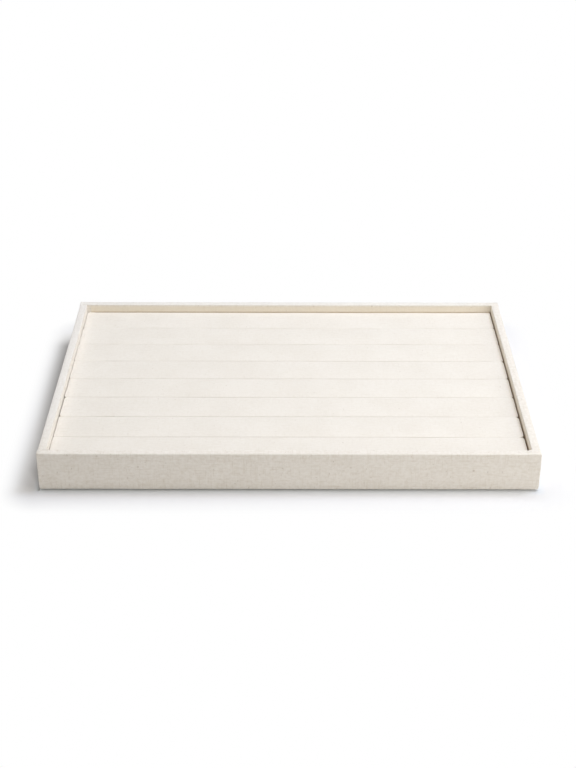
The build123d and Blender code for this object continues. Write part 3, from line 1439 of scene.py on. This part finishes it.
@dataclass(frozen=True)
class StudioFloor:
    """A white floor that keeps the tray's shadow, and runs out to plain white.

    It carries a painted shadow beside the tray's left wall, over a reach that grows from the front
    to the rear, a painted light behind that wall's rear end, and a painted cold shade close to the
    tray.
    """

    half: float = 6.0
    drop: float = 0.05 * MM
    color: Color = (0.855, 0.857, 0.875, 1)
    plain_edges: Pair = (9 * MM, 31 * MM)
    painted_cold_shade: Color = (0.83, 0.868, 0.92, 1)
    painted_cold_shade_reach: float = 7 * MM
    painted_shadow: Color = (0.428, 0.428, 0.437, 1)
    painted_shadow_reaches: Triple = (3 * MM, 14.5 * MM, 28 * MM)
    painted_shadow_places: Triple = (-120 * MM, -90 * MM, 75 * MM)
    painted_shadow_end: Pair = (95 * MM, 118 * MM)
    painted_light_lift: float = 0.5

    def shares(self, graph: Graph, place: Socket) -> tuple[Socket, Socket, Socket]:
        """How plain the floor is, with its painted light, and its painted shadow and painted cold
        shade at a point, each from 0 to 1.

        Args:
            graph: The floor's graph.
            place: The point.

        Returns:
            The three shares.
        """
        half = (CAD_BOX[1][0], CAD_BOX[1][1], self.half)
        beyond = graph.vector("ABSOLUTE", place).outputs[0]
        beyond = graph.vector("SUBTRACT", beyond, half).outputs[0]
        beyond = graph.vector("MAXIMUM", beyond).outputs[0]
        far = graph.vector("LENGTH", beyond).outputs["Value"]
        x, y, _ = graph.parts(place)
        aside = graph.math("DIVIDE", graph.parts(beyond)[0], far)
        aside = graph.times(aside, graph.math("LESS_THAN", x, 0.0))
        past_end = graph.between(y, *self.painted_shadow_end)
        growth = []
        for n in (0, 1):
            share = graph.between(y, *self.painted_shadow_places[n : n + 2])
            growth.append(graph.times(share, self.painted_shadow_reaches[n + 1] - self.painted_shadow_reaches[n]))
        reach = graph.plus(*growth, self.painted_shadow_reaches[0])
        # painted shadow beside the left wall, ending behind its rear end
        painted_shadow = graph.times(graph.between(far, reach, 0.0), aside, graph.minus(1.0, past_end))
        plain = graph.between(far, *self.plain_edges)
        # painted light: lifts the floor's shadow towards plain white behind the left wall's rear
        # end
        lift = graph.times(aside, past_end, self.painted_light_lift)
        plain = graph.math("MULTIPLY_ADD", graph.minus(1.0, plain), lift, plain)
        return plain, painted_shadow, graph.between(far, self.painted_cold_shade_reach, 0.0)

    def material(self) -> Material:
        """Makes the floor's material.

        Returns:
            A material that is lit near the tray, with a painted shadow and a painted cold shade
            there, and plain white far from it.
        """
        material = bpy.data.materials.new("white floor")
        material.use_nodes = True
        graph = Graph(material.node_tree)
        plain, painted_shadow, painted_cold_shade = self.shares(graph, graph.place())
        # painted cold shade close to the tray, then painted shadow beside the left wall
        color = graph.blend(painted_shadow, graph.blend(painted_cold_shade, self.color, self.painted_cold_shade), self.painted_shadow)
        lit = graph.node("BsdfDiffuse", {"Color": color})
        bare = graph.node("Emission", {"Color": WHITE, "Strength": 1.0})
        share = graph.times(plain, seen_directly(graph))
        both = graph.node("MixShader", {0: share, 1: lit.outputs[0], 2: bare.outputs[0]})
        graph.node("OutputMaterial", {"Surface": both.outputs[0]})
        return material

    def build(self) -> None:
        """Lays the floor just under the tray."""
        bm = bmesh.new()
        bmesh.ops.create_grid(bm, x_segments=1, y_segments=1, size=self.half)
        bmesh.ops.translate(bm, vec=Vector((0, 0, -self.drop)), verts=bm.verts)
        mesh = bpy.data.meshes.new("floor")
        bm.to_mesh(mesh)
        bm.free()
        mesh.materials.append(self.material())
        floor = bpy.data.objects.new("floor", mesh)
        add_to_scene(floor)


@dataclass
class Studio:
    """The camera, a white floor, even light all round and four soft lamps."""

    picture: tuple[int, int] = (576, 768)
    focal_pixels: float = 1404.4
    centre_pixel: float = 289.07
    sensor: float = 36.0
    pitch: float = 29.33
    roll: float = 0.08
    camera_height: float = 0.5484
    camera_back: float = 0.9432
    sky: float = 0.29
    sky_color: Color = WARM
    floor: StudioFloor = StudioFloor()
    lamps: tuple[Lamp, ...] = (
        Lamp("overhead", (0.25, 0.1, 0.9), size=0.6, strength=0.415, color=NEUTRAL),
        Lamp("right", (0.9, 0.15, 1.6), size=0.5, strength=0.235, color=COOL),
        Lamp("left", (-0.6, 0.2, 1.4), size=0.8, strength=0.145, color=NEUTRAL),
        Lamp("front fill", (0.7, -0.6, 0.35), size=0.4, strength=0.235, color=WARM),
    )

    def build_camera(self) -> None:
        """Stands the camera in front of the tray, looking down at it."""
        longest = max(self.picture)
        lens = bpy.data.cameras.new("camera")
        lens.sensor_width = self.sensor
        lens.lens = self.focal_pixels / longest * self.sensor
        lens.shift_x = (self.picture[0] / 2 - self.centre_pixel) / longest
        camera = bpy.data.objects.new("camera", lens)
        camera.location = (0, -self.camera_back, self.camera_height)
        down = Matrix.Rotation(math.radians(90 - self.pitch), 3, "X")
        aim = down @ Matrix.Rotation(math.radians(self.roll), 3, "Z")
        camera.rotation_euler = aim.to_euler()
        add_to_scene(camera)
        bpy.context.scene.camera = camera

    def build_world(self) -> None:
        """Surrounds the tray with even light, and shows plain white behind it."""
        world = bpy.data.worlds.new("studio")
        world.use_nodes = True
        bpy.context.scene.world = world
        graph = Graph(world.node_tree)
        seen = seen_directly(graph)
        light = graph.node("Background", {"Color": self.sky_color, "Strength": self.sky})
        shown = graph.node("Background", {"Color": WHITE, "Strength": 1.0})
        both = graph.node("MixShader", {0: seen, 1: light.outputs[0], 2: shown.outputs[0]})
        graph.node("OutputWorld", {"Surface": both.outputs[0]})

    def build(self) -> None:
        """Builds the studio round the tray."""
        bpy.context.scene.view_settings.view_transform = "Standard"
        self.build_camera()
        self.floor.build()
        self.build_world()
        for lamp in self.lamps:
            lamp.build()


TRAY_LINEN = LinenFinish("tray linen", painted_light=TrayPaintedLight())
BAR_LINEN = LinenFinish("bar linen", slubs=0.16, fleck_share=0.03, fleck_depth=0.22)
FLOOR_LINEN = LinenFinish(
    "unbleached linen",
    yarn=(0.62, 0.49, 0.33, 1),
    deep_and_shaded_yarn=(0.45, 0.34, 0.21, 1),
    pale_yarn=(0.70, 0.58, 0.42, 1),
)
FELT = FibreFinish(
    "pressed felt",
    ground=(0.16, 0.135, 0.11, 1),
    fibre=(0.25, 0.215, 0.18, 1),
    fineness=600.0,
    relief=0.12 * MM,
    roughness=0.95,
)
FIBREBOARD = FibreFinish(
    "fibreboard",
    ground=(0.30, 0.19, 0.10, 1),
    fibre=(0.42, 0.29, 0.17, 1),
    fineness=900.0,
    relief=0.03 * MM,
    roughness=0.85,
)
GREY_CARD = FibreFinish(
    "grey card",
    ground=(0.33, 0.31, 0.28, 1),
    fibre=(0.46, 0.44, 0.41, 1),
    fineness=700.0,
    relief=0.04 * MM,
    roughness=0.9,
)


def report(pieces: Sequence[Piece]) -> None:
    """Logs each piece with its number of faces."""
    for piece in pieces:
        log.info("%s: %d faces", piece.name, len(piece.data.polygons))


def main() -> None:
    """Builds the tray's pieces, its bars and the studio, in order."""
    logging.basicConfig(level=logging.INFO, format="%(message)s")
    tray_linen, bar_linen, floor_linen = (
        finish.material() for finish in (TRAY_LINEN, BAR_LINEN, FLOOR_LINEN)
    )
    report(TrayLinen(tray_linen).build())
    report([FloorLining(floor_linen).build()])
    report([UndersideSheet(FELT.material()).build()])
    TrayBoards(FIBREBOARD.material(), WireFinish("nail wire").material()).build()
    log.info("boards and nails dressed")
    foam, card = FoamFinish("foam").material(), GREY_CARD.material()
    press = ClothPress()
    bars = [body for body in frame["bodies"] if body.startswith("roll_")]
    for number in range(1, len(bars) + 1):
        report(PaddedBar(number, bar_linen, foam, card, press).build())
    Studio().build()
    log.info("studio built")


if __name__ == "__main__":
    main()
